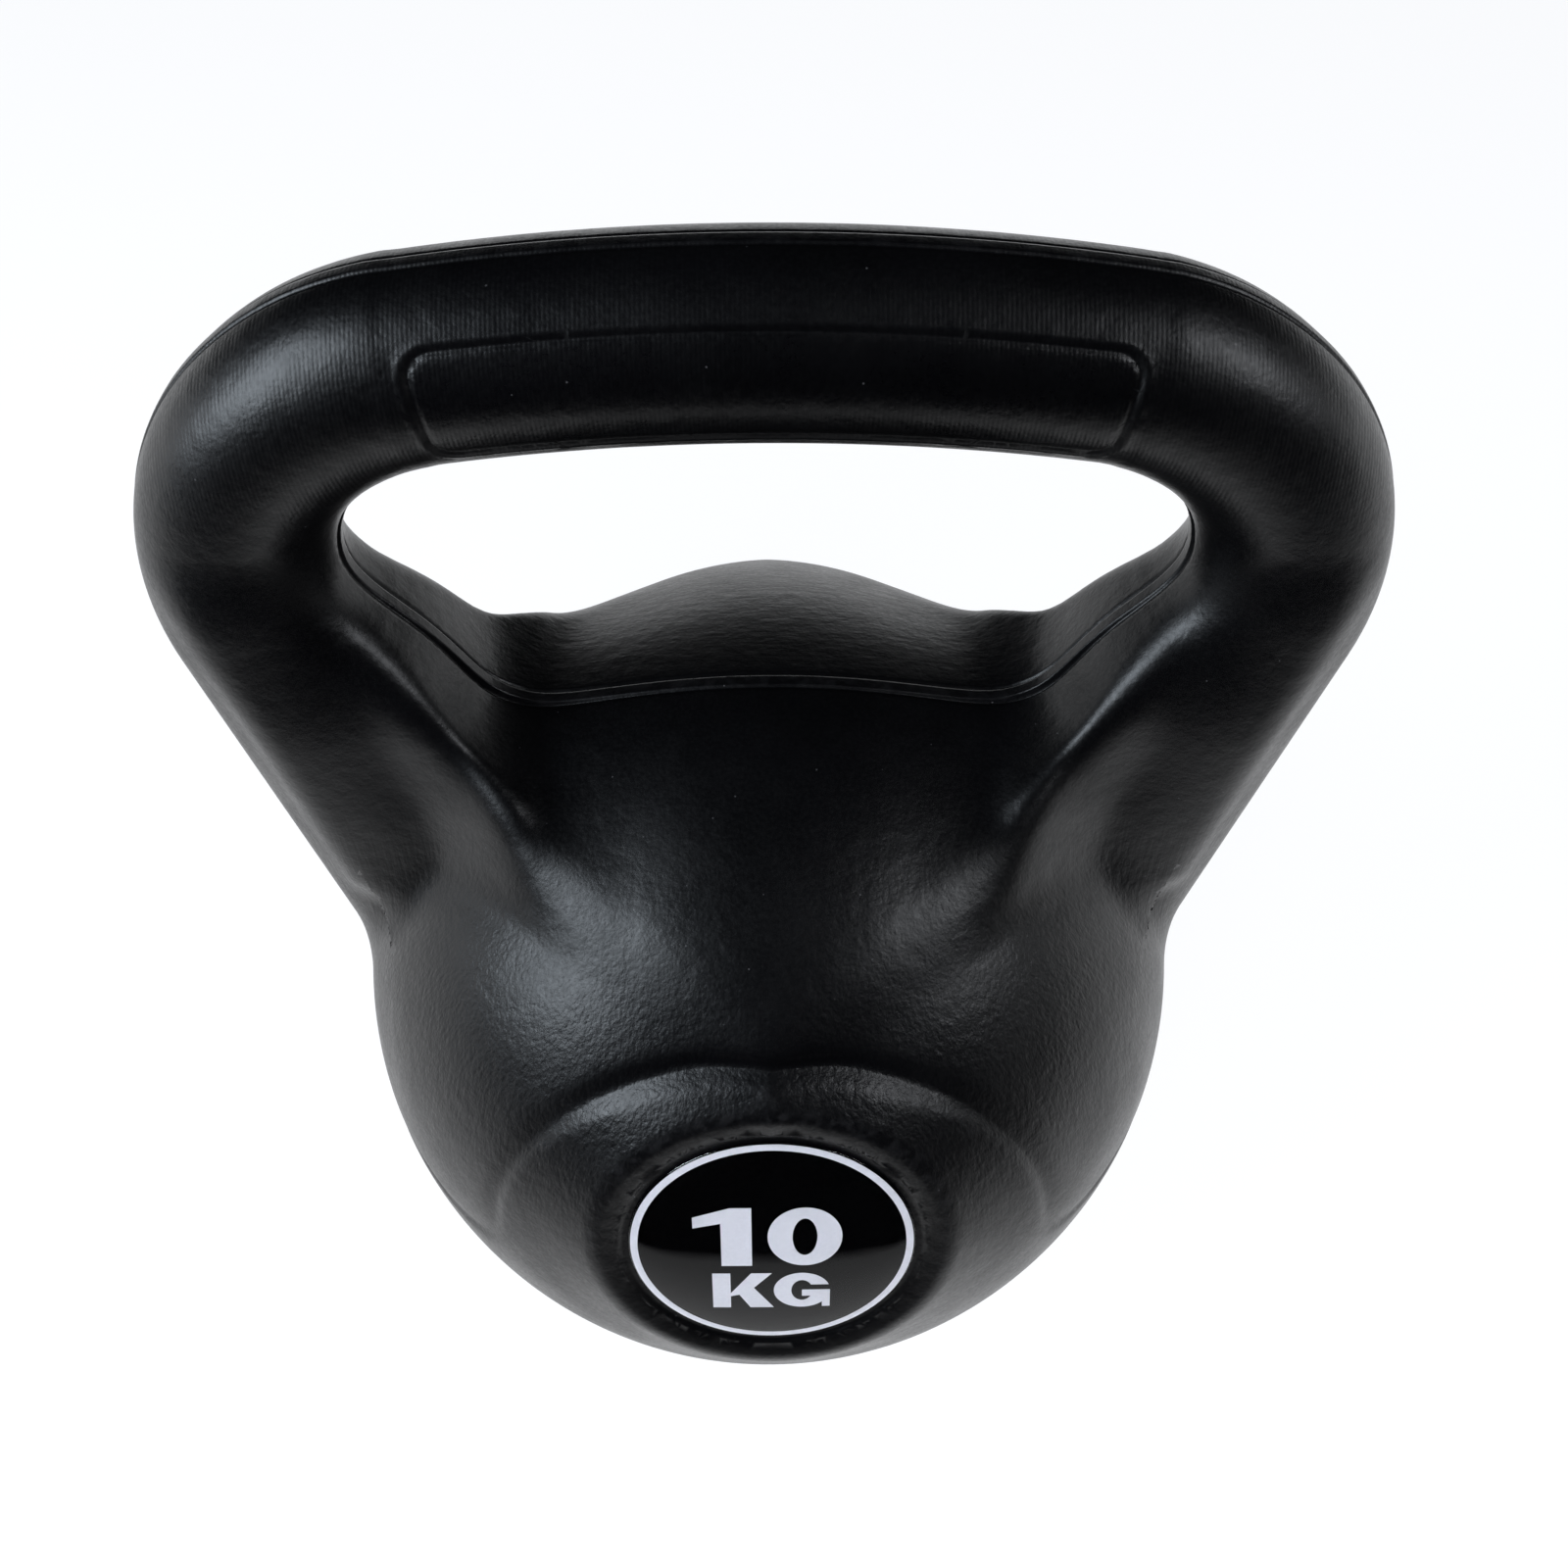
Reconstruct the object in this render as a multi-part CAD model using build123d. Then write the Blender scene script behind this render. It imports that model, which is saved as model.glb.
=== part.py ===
from build123d import *
import math
import os

# Cement-filled kettlebell with a blow-moulded plastic shell, in millimetres.
# Z is up, X runs along the handle, and the front label faces -Y.
# The origin is the centre of the base, on the floor.

# ---- ball and base ----
ball_radius = 98.0
ball_centre_height = 85.5
foot_recess_radius = 31.0
foot_recess_depth = 2.0
shell_wall = 3.0

# ---- handle ----
grip_radius = 16.85
horn_root_radius = 17.75
crown_height = 179.4        # grip centre above the ball's centre
crown_radius = 380.6
crown_half_angle = 8.5
corner_radius = 48.9
horn_lean = 10.4            # degrees from upright, wider at the top
horn_length = 98.4
horn_buried_length = 30.0   # the horn's last stretch, inside the ball
web_radius = 11.0           # rounding of the web between horn and ball
web_flat_half = 8.0         # half the flat strip between the web's two round edges
web_plate_half = 18.0       # half the web's thickness behind its round edges

# ---- seam left by the two mould halves ----
seam_width = 2.8
seam_height = 0.3

# ---- grip panels on the front and back of the crown ----
panel_half_length = 55.3
panel_depth = 0.5
panel_corner = 4.0
panel_top_angle = 34.0      # degrees round the bar, up and down from its front
panel_bottom_angle = 32.0

# ---- label seats and labels ----
label_tilt = 17.5           # degrees that the labels face upwards
label_radius = 29.1
seat_floor = 92.2           # along the label's axis from the ball's centre
seat_radius = 29.5
rim_radius = 36.5
rim_height = 93.4
boss_foot_radius = 52.0
film_thickness = 0.3
print_thickness = 0.1
ring_outer_radius = 28.6
ring_inner_radius = 27.1
dome_edge_height = 0.5
dome_height = 1.7

# ---- filler plug ----
filler_hole_radius = 14.0
plug_flange_radius = 18.0
plug_flange_thickness = 1.5
plug_stem_length = 9.0
plug_wall = 2.0
plug_clearance = 2.0

# ---- reinforcing rod cast into the handle ----
rod_radius = 5.0
rod_depth_in_ball = 40.0

# ---- weight mark ----
number_height = 17.0
number_base = -5.4
unit_height = 10.8
unit_base = -18.6

label_axis_height = ball_centre_height


def handle_path(horn_extra=0.0):
    """Centre line of the right half of the handle, from the crown's middle down the horn."""
    with BuildLine(Plane.XZ) as path:
        crown = JernArc((0, ball_centre_height + crown_height), (1, 0), crown_radius, -crown_half_angle)
        turn = 90 + horn_lean - crown_half_angle
        corner = JernArc(crown @ 1, crown % 1, corner_radius, -turn)
        PolarLine(corner @ 1, horn_length + horn_extra, direction=corner % 1)
    return path.line


def crown_and_corner():
    """The bent part of the right half of the handle's centre line."""
    edges = handle_path().edges()
    return Wire([edges[0], edges[1]])


def tube(path, radius):
    """Round bar of one radius along a path."""
    section = Plane(origin=path @ 0, z_dir=path % 0) * Circle(radius)
    return sweep(section, path=path)


def horn(inset):
    """Slightly tapered straight horn that runs down into the ball."""
    line = handle_path(horn_buried_length).edges()[2]
    middle = Plane(origin=line @ 0.5, z_dir=line % 0.5)
    widening = (horn_root_radius - grip_radius) / horn_length
    end_radius = horn_root_radius + widening * horn_buried_length
    return middle * Cone(grip_radius - inset, end_radius - inset, horn_length + horn_buried_length)


def web(inset):
    """Thick web with two round edges that fills the inner corner between a horn and the ball."""
    z = ball_centre_height
    edge_route = [
        (95.0, z + 141.0),
        (86.0, z + 124.5),
        (75.4, z + 106.4),
        (62.6, z + 92.0),
        (52.6, z + 85.1),
        (37.0, z + 82.0),
        (18.0, z + 78.0),
    ]
    with BuildLine(Plane.XZ) as path:
        Spline(*edge_route)
    edge = tube(path.line, web_radius - inset)
    edges = edge + Pos(0, -web_flat_half, 0) * edge + Pos(0, web_flat_half, 0) * edge
    inner_corners = [(18.0, z + 40.0), (83.0, z + 40.0)]
    with BuildSketch(Plane.XZ) as plate:
        with BuildLine():
            Polyline(*edge_route, *inner_corners, close=True)
        make_face()
    return edges + extrude(plate.sketch, amount=web_plate_half - inset, both=True)


def handle_half(inset):
    """Right half of the handle: bent bar, horn and web."""
    return tube(crown_and_corner(), grip_radius - inset) + horn(inset) + web(inset)


def body(inset):
    """Ball and handle, with every surface moved inwards by the inset."""
    radius = ball_radius - inset
    ball = Pos(0, 0, ball_centre_height) * Sphere(radius)
    half = handle_half(inset)
    return ball + half + mirror(half, about=Plane.YZ)


def label_plane(height, side):
    """Plane across a label's axis, at a height from the ball's centre; side -1 is the front."""
    tilt = math.radians(label_tilt)
    outwards = Vector(0, side * math.cos(tilt), math.sin(tilt))
    centre = Vector(0, 0, label_axis_height) + outwards * height
    return Plane(origin=centre, x_dir=(-side, 0, 0), z_dir=outwards)


def round_profile(points, side):
    """Solid of revolution about a label's axis, from (radius, height) points."""
    frame = label_plane(0, side)
    with BuildSketch(Plane.XZ) as section:
        with BuildLine():
            Polyline(*points, close=True)
        make_face()
    turned = revolve(section.sketch, axis=Axis.Z)
    return frame * turned


def sphere_height(radius):
    """Height of the ball's surface above its centre, at a radius from a label's axis."""
    return math.sqrt(ball_radius ** 2 - radius ** 2)


def label_boss(side, inset):
    """Raised rim that carries the label's seat."""
    foot = sphere_height(boss_foot_radius)
    outline = [
        (0, 60),
        (boss_foot_radius - inset, 60),
        (boss_foot_radius - inset, foot - inset),
        (rim_radius - inset, rim_height - inset),
        (0, rim_height - inset),
    ]
    return round_profile(outline, side)


def label_seat(side, inset):
    """Space in the boss that the label sits in, with a dished wall."""
    outline = [
        (0, seat_floor - inset),
        (seat_radius + inset, seat_floor - inset),
        (rim_radius - 1.5 + inset, rim_height - inset),
        (rim_radius - 1.5 + inset, rim_height + 8),
        (0, rim_height + 8),
    ]
    return round_profile(outline, side)


def foot_cut(inset):
    """Everything below the base, and the recess inside the foot ring."""
    below = Pos(0, 0, inset - 20) * Box(200, 200, 40)
    recess_top = foot_recess_depth + inset
    recess = Pos(0, 0, recess_top / 2) * Cylinder(foot_recess_radius + inset, recess_top)
    return below + recess


def panel_cut(side):
    """Thin layer of the crown that the grip panel is sunk by."""
    path = crown_and_corner()
    outer = tube(path, grip_radius + 2)
    inner = tube(path, grip_radius - panel_depth)
    layer = outer - inner
    layer = layer + mirror(layer, about=Plane.YZ)
    top = grip_radius * math.sin(math.radians(panel_top_angle))
    bottom = grip_radius * math.sin(math.radians(panel_bottom_angle))
    z = ball_centre_height + crown_height
    with BuildSketch(Plane.XZ) as window:
        with BuildLine():
            drop = crown_radius - math.sqrt(crown_radius ** 2 - panel_half_length ** 2)
            ends = panel_half_length
            upper = ThreePointArc((-ends, z + top - drop), (0, z + top), (ends, z + top - drop))
            lower = ThreePointArc((-ends, z - bottom - drop), (0, z - bottom), (ends, z - bottom - drop))
            Line(upper @ 0, lower @ 0)
            Line(upper @ 1, lower @ 1)
        make_face()
        fillet(window.vertices(), panel_corner)
    reach = extrude(window.sketch, amount=40 * -side)
    return layer & reach


def seam_band(solid_outline):
    """Flat band left where the two mould halves met, trimmed nearly flush."""
    slab = Pos(0, 0, 150) * Box(300, seam_width, 400)
    return solid_outline & slab


def outside(inset):
    """Closed outer form of the kettlebell, moved inwards by the inset."""
    form = body(inset)
    for side in (-1, 1):
        form = form + label_boss(side, inset)
    for side in (-1, 1):
        form = form - label_seat(side, inset)
    return form - foot_cut(inset)


def make_cavity():
    """Inside of the shell, which the cement fills."""
    return outside(shell_wall)


def make_shell(cavity):
    form = outside(0)
    form = form + (seam_band(body(-seam_height)) - foot_cut(0))
    for side in (-1, 1):
        form = form - panel_cut(side)
    hole = Pos(0, 0, foot_recess_depth + shell_wall) * Cylinder(filler_hole_radius, 20)
    return form - cavity - hole


def make_rod():
    """Bent steel rod that runs through the handle and down into the ball."""
    half = tube(handle_path(rod_depth_in_ball), rod_radius)
    return half + mirror(half, about=Plane.YZ)


def make_plug():
    """Push-in cup that closes the filler hole."""
    flange_z = foot_recess_depth - plug_flange_thickness / 2
    flange = Pos(0, 0, flange_z) * Cylinder(plug_flange_radius, plug_flange_thickness)
    stem_z = foot_recess_depth + plug_stem_length / 2
    stem = Pos(0, 0, stem_z) * Cylinder(filler_hole_radius, plug_stem_length)
    bore = Pos(0, 0, stem_z + 0.5) * Cylinder(filler_hole_radius - plug_wall, plug_stem_length)
    return flange + (stem - bore)


def make_filling(cavity, rod):
    space = foot_recess_depth + plug_stem_length + plug_clearance
    gap = Pos(0, 0, space / 2) * Cylinder(filler_hole_radius + plug_clearance, space)
    return cavity - rod - gap


def rounded_zero(width, height, stroke):
    """Upright oval ring with heavy sides."""
    ring = Ellipse(width / 2, height / 2) - Ellipse(width / 2 - stroke, height / 2 - 0.62 * stroke)
    return Pos(0, height / 2) * ring


def numeral_one(height, stroke):
    """Upright bar with a slanted flag on its left."""
    flag = stroke * 0.9
    outline = [
        (0, 0),
        (stroke, 0),
        (stroke, height),
        (stroke * 0.3, height),
        (-flag, height * 0.84),
        (-flag, height * 0.66),
        (0, height * 0.74),
    ]
    return make_face(Polyline(*outline, close=True))


def letter_k(width, height, stroke):
    """Upright bar with two slanted arms."""
    bar = [(0, 0), (stroke, 0), (stroke, height), (0, height)]
    arm = [
        (stroke * 0.8, height * 0.32),
        (width - stroke * 1.15, height),
        (width, height),
        (stroke * 1.9, height * 0.42),
    ]
    leg = [
        (stroke * 1.25, height * 0.52),
        (width - stroke * 1.2, 0),
        (width + stroke * 0.1, 0),
        (stroke * 2.1, height * 0.68),
    ]
    faces = [make_face(Polyline(*points, close=True)) for points in (bar, arm, leg)]
    return faces[0] + faces[1] + faces[2]


def letter_g(width, height, stroke):
    """Oval ring, open on the right above a short shelf."""
    ring = rounded_zero(width, height, stroke)
    mouth = Pos(width * 0.36, height * 0.585) * Rectangle(width * 0.42, height * 0.15)
    shelf = Pos(width * 0.25, height * 0.42) * Rectangle(width * 0.5, height * 0.18)
    spur = Pos(width * 0.43, height * 0.26) * Rectangle(width * 0.14, height * 0.5)
    return ring - mouth + shelf + spur


def mark_sketch():
    """Ring and weight mark, flat, with the label's centre as the origin."""
    ring = Circle(ring_outer_radius) - Circle(ring_inner_radius)
    one = Pos(-10.3, number_base) * numeral_one(number_height, 6.2)
    zero = Pos(6.6, number_base) * rounded_zero(15.0, number_height, 5.0)
    k = Pos(-12.3, unit_base) * letter_k(12.2, unit_height, 3.7)
    g = Pos(6.1, unit_base) * letter_g(11.6, unit_height, 3.6)
    return ring + one + zero + k + g


def make_label(side):
    """Printed film, its white print and the clear dome over both."""
    film = label_plane(seat_floor, side) * Pos(0, 0, film_thickness / 2) * Cylinder(label_radius, film_thickness)
    print_level = seat_floor + film_thickness
    ink = extrude(label_plane(print_level, side) * mark_sketch(), amount=print_thickness)
    rise = dome_height - dome_edge_height
    dome_radius = (label_radius ** 2 + rise ** 2) / (2 * rise)
    with BuildSketch(Plane.XZ) as section:
        with BuildLine():
            bottom = Line((0, 0), (label_radius, 0))
            edge = Line(bottom @ 1, (label_radius, dome_edge_height))
            middle = (
                label_radius / 2,
                dome_height - dome_radius + math.sqrt(dome_radius ** 2 - (label_radius / 2) ** 2),
            )
            ThreePointArc(edge @ 1, middle, (0, dome_height))
            Line((0, dome_height), (0, 0))
        make_face()
    dome = label_plane(print_level, side) * revolve(section.sketch, axis=Axis.Z)
    return film, ink, dome - ink


cavity = make_cavity()
rod = make_rod()
nodes = {
    "shell": make_shell(cavity),
    "cement_filling": make_filling(cavity, rod),
    "handle_rod": rod,
    "filler_plug": make_plug(),
}
for name, side in (("front", -1), ("rear", 1)):
    film, ink, dome = make_label(side)
    nodes[name + "_label_film"] = film
    nodes[name + "_label_print"] = ink
    nodes[name + "_label_dome"] = dome

os.makedirs("parts", exist_ok=True)
for node, shape in nodes.items():
    export_step(shape, "parts/" + node + ".step")
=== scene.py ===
import math

import bpy
import numpy as np
from mathutils import Euler, Matrix, Vector


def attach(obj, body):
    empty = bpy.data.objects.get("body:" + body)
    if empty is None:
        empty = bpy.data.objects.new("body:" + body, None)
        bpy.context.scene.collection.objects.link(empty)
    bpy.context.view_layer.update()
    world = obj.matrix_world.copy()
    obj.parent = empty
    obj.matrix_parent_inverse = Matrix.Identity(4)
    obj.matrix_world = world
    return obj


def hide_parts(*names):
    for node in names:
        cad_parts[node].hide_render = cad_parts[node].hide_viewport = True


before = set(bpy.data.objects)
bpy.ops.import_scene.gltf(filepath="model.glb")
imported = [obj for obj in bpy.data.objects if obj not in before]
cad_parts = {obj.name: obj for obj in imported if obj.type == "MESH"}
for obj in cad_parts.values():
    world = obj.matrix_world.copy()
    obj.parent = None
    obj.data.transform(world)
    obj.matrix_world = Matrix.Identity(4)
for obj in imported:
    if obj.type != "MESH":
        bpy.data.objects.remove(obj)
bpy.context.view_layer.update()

MM = 0.001

# ---- the kettlebell's own sizes, in millimetres, with heights from the ball's centre ----
BALL_RADIUS = 98.0
BALL_CENTRE_HEIGHT = 85.5  # above the floor
GRIP_RADIUS = 16.85
HORN_ROOT_RADIUS = 17.75
CROWN_HEIGHT = 179.4
CROWN_RADIUS = 380.6
CROWN_HALF_ANGLE = math.radians(8.5)
CORNER_RADIUS = 48.9
HORN_LEAN = math.radians(10.4)
HORN_LENGTH = 98.4
HORN_BURIED = 30.0
HORN_BLEND_OUTSIDE = 5.0
HORN_BLEND_INSIDE = 12.0

# crown and corner arcs of the handle, seen from the front
CROWN_CENTRE = (0.0, CROWN_HEIGHT - CROWN_RADIUS)
CORNER_CENTRE = (
    (CROWN_RADIUS - CORNER_RADIUS) * math.sin(CROWN_HALF_ANGLE),
    CROWN_CENTRE[1] + (CROWN_RADIUS - CORNER_RADIUS) * math.cos(CROWN_HALF_ANGLE),
)
CORNER_END = math.radians(90) + HORN_LEAN
HORN_TOP = (
    CORNER_CENTRE[0] + CORNER_RADIUS * math.sin(CORNER_END),
    CORNER_CENTRE[1] + CORNER_RADIUS * math.cos(CORNER_END),
)
HORN_RUN = (-math.sin(HORN_LEAN), -math.cos(HORN_LEAN))

# window under the handle: how widely the ball sweeps up into its sides
WINDOW_TUBE_RADIUS = 17.0
SWEEP = 57.0
SWEEP_GAIN = 35.0
SWEEP_GAIN_START = 82.0
SWEEP_GAIN_LENGTH = 38.0
SWEEP_LOSS = 44.0
SWEEP_LOSS_START = 122.0
SWEEP_LOSS_LENGTH = 26.0

# webs between the horns and the ball
WEB_HALF_WIDTH = 19.0
WEB_FLARE = 0.85
WEB_FLARE_START = 20.0
WEB_FLARE_SOFTNESS = 30.0
WEB_PINCH = 3.0
WEB_PINCH_START = 100.0
WEB_PINCH_LENGTH = 36.0
WEB_FLAT_START = 26.0
WEB_FLAT_LENGTH = 24.0
WEB_VALLEY = 54.0
WEB_VALLEY_WIDTH = 10.0
HUMP_CROWNING = 172.0
WEB_CROWNING = 340.0
WEB_OVERHANG = 2.0
WEB_TOP = 138.0
WEB_BOTTOM = 55.0
WEB_EDGE_ROUND = 15.0
WEB_SIDE_ROUND = 6.0
WEB_TOP_ROUND = 12.0
WEB_BOTTOM_ROUND = 8.0
WEB_BLEND = 9.0

# labels
LABEL_TILT = math.radians(17.5)
LABEL_RADIUS = 29.1
SEAT_FLOOR = 92.2
SEAT_EDGE = 30.6
SEAT_CORNER_ROUND = 0.8
SEAT_LIP_ROUND = 1.4
RIM_RADIUS = 36.5
RIM_HEIGHT = 93.3
RIM_DISH = 0.7
RIM_DISH_WIDTH = 5.5
RIM_ROUND = 1.6
BOSS_RADIUS = 52.0
BOSS_RISE = 2.35
FILM_THICKNESS = 0.3
DOME_HEIGHT = 1.7
DOME_BEDDING = 0.03
DOME_FULLNESS = 2.4

# brow line over the label
BROW_RADIUS = 59.5
BROW_CENTRE = 8.5
BROW_LEVEL = -1.0
BROW_SWEEP = 18.0
BROW_WIDTH_ABOVE = 2.4
BROW_WIDTH_BELOW = 1.2
BROW_DEPTH_AT_ENDS = 0.55
BROW_DEPTH_GAIN = 0.85
BROW_SLOPE = 0.55
BROW_ROUND = 1.2

# mould seam round the middle
SEAM_HALF_WIDTH = 1.75
SEAM_FLANK = 0.6
SEAM_RISE = 0.22
SEAM_LINE_PLACE = 1.85
SEAM_LINE_WIDTH = 0.38
SEAM_LINE_DEPTH = 0.20

# grip panels
PANEL_LEFT_END = -54.0
PANEL_RIGHT_END = 56.5
PANEL_TOP_ANGLE = math.radians(34.0)
PANEL_BOTTOM_ANGLE = math.radians(32.0)
PANEL_CORNER = 4.0
PANEL_GROOVE_DEPTH = 0.5
PANEL_GROOVE_WIDTH = 0.65
PANEL_BEAD_RISE = 0.12
PANEL_BEAD_PLACE = 1.5
PANEL_BEAD_WIDTH = 0.6
PANEL_SUNK = 0.22
PANEL_FLANK = 1.2
GRIP_MIDDLE = 1.6
GRIP_HALF_LENGTH = 57.4
GRIP_STEP_RISE = 0.16
GRIP_STEP_LENGTH = 3.2
GRIP_STEP_END = 90.0
GRIP_STEP_FADE = 20.0
HANDLE_BAR_START = 150.0
HANDLE_BAR_LENGTH = 8.0

# base and filler plug
FOOT_EDGE_ROUND = 4.0
RECESS_RADIUS = 31.0
RECESS_DEPTH = 2.0
RECESS_ROUND = 1.0
PLUG_POCKET_RADIUS = 14.4
PLUG_POCKET_DEPTH = 12.0
PLUG_POCKET_ROUND = 0.6

# mesh of the shell's skin
GRID_STEP = 2.3
GRID_HALF_WIDTH = 118.2
GRID_HALF_DEPTH = 101.0
GRID_BOTTOM = -88.3
GRID_TOP = 199.1
SEAM_GRID = (0.55, 1.2, 1.42, 1.62, 1.85, 2.1, 2.6, 3.6, 5.2)
SEAM_HELD = 3.0
SEAM_NOT_REFINED = 2.4
MOST_TRIANGLES = 190000

# ---- relief of the shell's skin that is too fine for the mesh, in metres ----
ORANGE_PEEL_DEPTH = 0.00013
FINE_GRAIN_DEPTH = 0.00004
WRINKLE_DEPTH = 0.00012
BRUSHING_DEPTH = 0.00013
RIB_DEPTH = 0.000012

# ---- the studio, in metres and watts ----
FLOOR_HALF = 3.0
FLOOR_SEEN = 0.93
FLOOR_GLOW = 1.15
FLOOR_GLOW_IN_FRONT = 0.3
TABLE_EDGE = (-0.262, -0.252)
GLOW_RISE = (-0.26, -0.12)
FLOOR_SHADE = 0.12
SCREEN_DISTANCE = 2.4
SCREEN_FRONT = -0.3
SCREEN_HEIGHT = 0.55
SCREEN_GLOW = 1.5
ROOM_LIGHT = 0.006
BACKDROP_LIGHT = 0.95
PALE_BLUE_WHITE = (0.97, 0.98, 1.0)
LAMP_AIM = (0, 0, 0.12)
CAMERA_PLACE = (-0.00037, -0.20169, 0.39270)
CAMERA_TURN = (40.082, -0.272, -0.730)
CAMERA_LENS = 32.56
CAMERA_SENSOR = 36.0
CAMERA_NEAREST = 0.01


# ---- shape of the moulded shell, as a distance from its surface ----
def ease(t):
    t = np.clip(t, 0.0, 1.0)
    return t * t * (3 - 2 * t)


def groove(away, width):
    """1 on a line, falling away smoothly on each side of it."""
    return np.exp(-(away / width) ** 2)


def blend_union(a, b, k):
    h = np.maximum(k - np.abs(a - b), 0) / k
    return np.minimum(a, b) - h * h * k / 4


def blend_cut(a, b, k):
    return -blend_union(-a, -b, k)


def arc_distance(x, z, centre, radius, start, end):
    angle = np.clip(np.arctan2(x - centre[0], z - centre[1]), start, end)
    near_x = centre[0] + radius * np.sin(angle)
    near_z = centre[1] + radius * np.cos(angle)
    return np.hypot(x - near_x, z - near_z)


def crown_distance(side, z):
    return arc_distance(side, z, CROWN_CENTRE, CROWN_RADIUS, -0.01, CROWN_HALF_ANGLE)


def corner_distance(side, z):
    return arc_distance(side, z, CORNER_CENTRE, CORNER_RADIUS, CROWN_HALF_ANGLE, CORNER_END)


def horn_coordinates(x, z):
    """Distance down the horn's axis, and distance outwards from it."""
    dx = np.abs(x) - HORN_TOP[0]
    dz = z - HORN_TOP[1]
    down = dx * HORN_RUN[0] + dz * HORN_RUN[1]
    outward = -dx * HORN_RUN[1] + dz * HORN_RUN[0]
    return down, outward


def handle(x, y, z):
    side = np.abs(x)
    crown = np.hypot(crown_distance(side, z), y)
    corner = np.hypot(corner_distance(side, z), y)
    down, outward = horn_coordinates(x, z)
    along = np.clip(down, 0, HORN_LENGTH + HORN_BURIED)
    horn_radius = GRIP_RADIUS + (HORN_ROOT_RADIUS - GRIP_RADIUS) * along / HORN_LENGTH
    horn = np.sqrt(outward ** 2 + y ** 2 + (down - along) ** 2) - horn_radius
    return np.minimum(np.minimum(crown, corner) - GRIP_RADIUS, horn)


def window_edge(x, z):
    """Outline that the ball and the webs give the window under the handle."""
    down, outward = horn_coordinates(x, z)
    horn = np.hypot(outward, np.minimum(down, 0))
    tube = np.minimum(corner_distance(np.abs(x), z), horn) - WINDOW_TUBE_RADIUS
    gain = SWEEP_GAIN * ease((z - SWEEP_GAIN_START) / SWEEP_GAIN_LENGTH)
    loss = SWEEP_LOSS * ease((z - SWEEP_LOSS_START) / SWEEP_LOSS_LENGTH)
    return blend_union(np.hypot(x, z) - BALL_RADIUS, tube, SWEEP + gain - loss)


def webs(x, y, z):
    outward = horn_coordinates(x, z)[1]
    inner = -outward - WEB_FLARE_START
    flare = WEB_FLARE * (inner + np.sqrt(inner ** 2 + WEB_FLARE_SOFTNESS)) / 2
    pinch = WEB_PINCH * ease((z - WEB_PINCH_START) / WEB_PINCH_LENGTH)
    half_width = WEB_HALF_WIDTH + flare - pinch
    flat = ease((np.abs(x) - WEB_FLAT_START) / WEB_FLAT_LENGTH)
    valley = groove(np.abs(x) - WEB_VALLEY, WEB_VALLEY_WIDTH)
    crowning = (1 - flat) / HUMP_CROWNING + flat * (1 - valley) / WEB_CROWNING
    crowned = window_edge(x, z) + y ** 2 * crowning
    web = blend_cut(crowned, np.abs(y) - half_width, WEB_EDGE_ROUND)
    web = blend_cut(web, outward - WEB_OVERHANG, WEB_SIDE_ROUND)
    web = blend_cut(web, z - WEB_TOP, WEB_TOP_ROUND)
    return blend_cut(web, WEB_BOTTOM - z, WEB_BOTTOM_ROUND)


def plain_form(x, y, z):
    ball = np.sqrt(x ** 2 + y ** 2 + z ** 2) - BALL_RADIUS
    outward = horn_coordinates(x, z)[1]
    root_blend = np.where(outward > 0, HORN_BLEND_OUTSIDE, HORN_BLEND_INSIDE)
    form = blend_union(handle(x, y, z), ball, root_blend)
    return blend_union(form, webs(x, y, z), WEB_BLEND)


def label_coordinates(x, y, z):
    """Radius round the label's axis, and height along it."""
    forward = np.abs(y)
    height = forward * math.cos(LABEL_TILT) + z * math.sin(LABEL_TILT)
    up = z * math.cos(LABEL_TILT) - forward * math.sin(LABEL_TILT)
    return np.hypot(x, up), height


def brow_distance(x, z):
    """Distance below the brow line over the label, negative above it."""
    arch = np.hypot(x, z - BROW_CENTRE) - BROW_RADIUS
    return -blend_union(arch, z - BROW_LEVEL, BROW_SWEEP)


def panel_distance(x, y, z):
    """Distance outside the grip panel's outline, negative on the panel, and place along the crown."""
    side = np.abs(x)
    angle = np.arctan2(side - CROWN_CENTRE[0], z - CROWN_CENTRE[1])
    along = CROWN_RADIUS * angle * np.sign(x)
    out = np.hypot(x - CROWN_CENTRE[0], z - CROWN_CENTRE[1]) - CROWN_RADIUS
    round_bar = GRIP_RADIUS * np.arctan2(out, np.abs(y))
    middle_along = (PANEL_LEFT_END + PANEL_RIGHT_END) / 2
    half_along = (PANEL_RIGHT_END - PANEL_LEFT_END) / 2
    middle_round = GRIP_RADIUS * (PANEL_TOP_ANGLE - PANEL_BOTTOM_ANGLE) / 2
    half_round = GRIP_RADIUS * (PANEL_TOP_ANGLE + PANEL_BOTTOM_ANGLE) / 2
    dx = np.abs(along - middle_along) - half_along + PANEL_CORNER
    dy = np.abs(round_bar - middle_round) - half_round + PANEL_CORNER
    corner = np.hypot(np.maximum(dx, 0), np.maximum(dy, 0))
    return corner + np.minimum(np.maximum(dx, dy), 0) - PANEL_CORNER, along


def seam_relief(y):
    away = np.abs(y)
    ridge = SEAM_RISE * ease((SEAM_HALF_WIDTH - away) / SEAM_FLANK)
    line = SEAM_LINE_DEPTH * groove(away - SEAM_LINE_PLACE, SEAM_LINE_WIDTH)
    return ridge - line


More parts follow.
